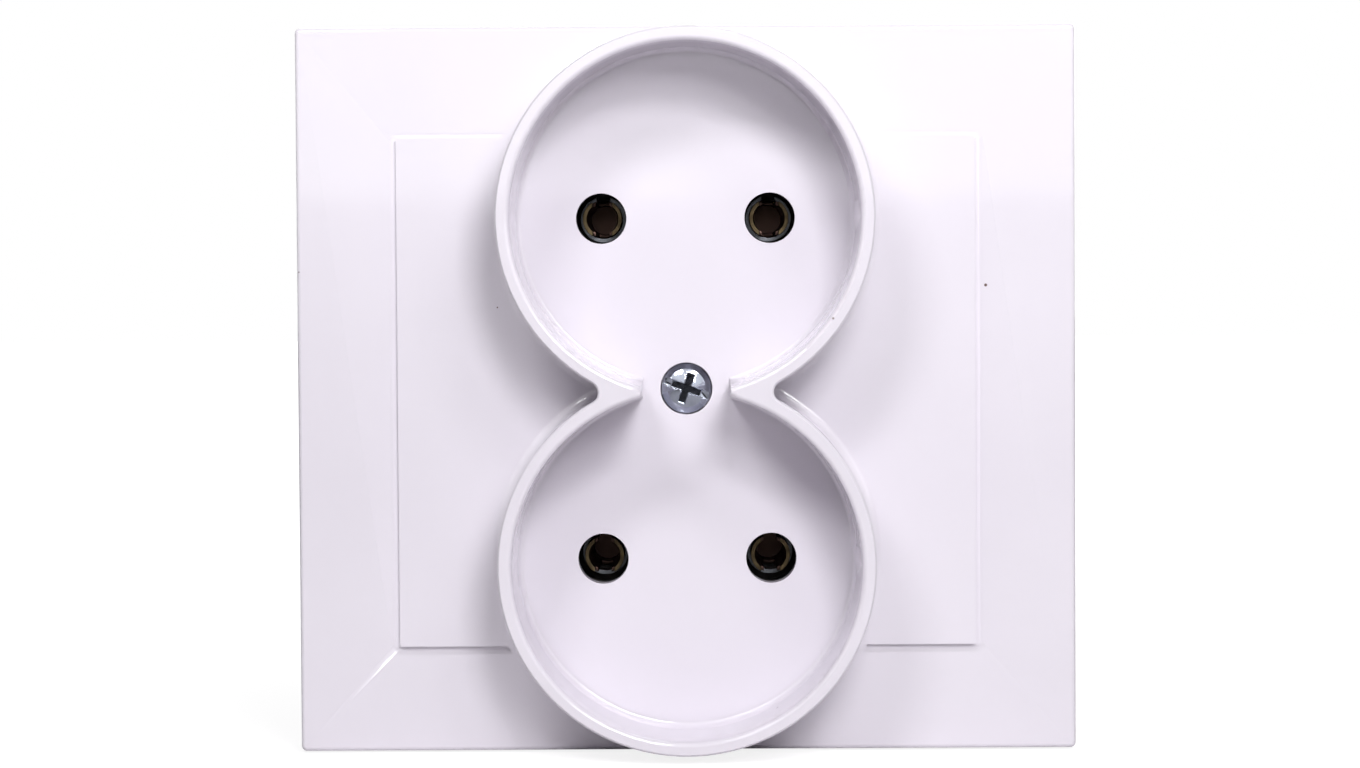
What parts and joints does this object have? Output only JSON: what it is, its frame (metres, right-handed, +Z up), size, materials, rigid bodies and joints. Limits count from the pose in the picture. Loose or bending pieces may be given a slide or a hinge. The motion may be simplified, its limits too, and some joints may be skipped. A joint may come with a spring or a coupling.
{
  "type": "twin wall socket outlet for plugs with two round pins",
  "caption": "Flush twin wall socket with two round recesses, round pin holes, a centre screw, spring contacts, screw terminals and spreading wall-box claws.",
  "frame": {"origin": "middle of the box-screw pattern on the wall plane", "axes": "+X to the right of the cover, +Y into the wall, +Z up"},
  "size_m": [0.088, 0.04, 0.082],
  "materials": {
    "cover_plastic": "gloss white with a faint lilac cast",
    "base_plastic": "satin brown-black phenolic moulding",
    "strap_steel": "zinc-plated sheet steel",
    "claw_steel": "zinc-plated pressed steel",
    "screw_steel": "zinc-plated screw steel",
    "spring_steel": "bright spring steel",
    "brass": "bare brass"
  },
  "bodies": {
    "base_unit": {"claw_pin_left": "claw_steel", "claw_pin_right": "claw_steel", "contact_cover": "base_plastic", "contact_lower_left": "brass", "contact_lower_right": "brass", "contact_spring_lower_left": "spring_steel", "contact_spring_lower_right": "spring_steel", "contact_spring_upper_left": "spring_steel", "contact_spring_upper_right": "spring_steel", "contact_upper_left": "brass", "contact_upper_right": "brass", "cover_bush": "brass", "mounting_strap": "strap_steel", "pole_bar_left": "brass", "pole_bar_right": "brass", "socket_base": "base_plastic", "strap_screws": "screw_steel"},
    "cover": {"cover": "cover_plastic"},
    "cover_screw": {"cover_screw": "screw_steel"},
    "claw_left": {"claw_left": "claw_steel"},
    "claw_screw_left": {"claw_screw_left": "screw_steel"},
    "terminal_clamp_left": {"terminal_clamp_left": "screw_steel"},
    "terminal_screw_left": {"terminal_screw_left": "screw_steel"},
    "claw_right": {"claw_right": "claw_steel"},
    "claw_screw_right": {"claw_screw_right": "screw_steel"},
    "terminal_clamp_right": {"terminal_clamp_right": "screw_steel"},
    "terminal_screw_right": {"terminal_screw_right": "screw_steel"}
  },
  "joints": [
    {"name": "cover_screw_turn", "type": "hinge", "parent": "cover", "child": "cover_screw", "pos_m": [0, 0, 0], "axis": [0, -1, 0], "range_deg": [0, 5760]},
    {"name": "cover_lift", "type": "slide", "parent": "base_unit", "child": "cover", "axis": [0, -1, 0], "range_m": [0, 0.008]},
    {"name": "claw_screw_left_turn", "type": "hinge", "parent": "base_unit", "child": "claw_screw_left", "pos_m": [-0.0242, 0, 0], "axis": [0, 1, 0], "range_deg": [0, 1175.6]},
    {"name": "claw_left_swing", "type": "hinge", "parent": "base_unit", "child": "claw_left", "pos_m": [-0.02, 0.004, 0], "axis": [0, 0, 1], "range_deg": [0, 22]},
    {"name": "terminal_left_clamp", "type": "slide", "parent": "base_unit", "child": "terminal_clamp_left", "axis": [0, 1, 0], "range_m": [0, 0.0028]},
    {"name": "terminal_left_turn", "type": "hinge", "parent": "terminal_clamp_left", "child": "terminal_screw_left", "pos_m": [-0.0095, 0.015, 0], "axis": [0, 1, 0], "range_deg": [0, 2016]},
    {"name": "claw_screw_right_turn", "type": "hinge", "parent": "base_unit", "child": "claw_screw_right", "pos_m": [0.0242, 0, 0], "axis": [0, 1, 0], "range_deg": [0, 1175.6]},
    {"name": "claw_right_swing", "type": "hinge", "parent": "base_unit", "child": "claw_right", "pos_m": [0.02, 0.004, 0], "axis": [0, 0, -1], "range_deg": [0, 22]},
    {"name": "terminal_right_clamp", "type": "slide", "parent": "base_unit", "child": "terminal_clamp_right", "axis": [0, 1, 0], "range_m": [0, 0.0028]},
    {"name": "terminal_right_turn", "type": "hinge", "parent": "terminal_clamp_right", "child": "terminal_screw_right", "pos_m": [0.0095, 0.015, 0], "axis": [0, 1, 0], "range_deg": [0, 2016]}
  ],
  "couplings": [
    {"joint": "cover_screw_turn", "follows": "cover_lift", "rad_per_m": 12566},
    {"joint": "claw_left_swing", "follows": "claw_screw_left_turn", "ratio": 0.018712},
    {"joint": "terminal_left_turn", "follows": "terminal_left_clamp", "rad_per_m": 12566},
    {"joint": "claw_right_swing", "follows": "claw_screw_right_turn", "ratio": 0.018712},
    {"joint": "terminal_right_turn", "follows": "terminal_right_clamp", "rad_per_m": 12566}
  ]
}
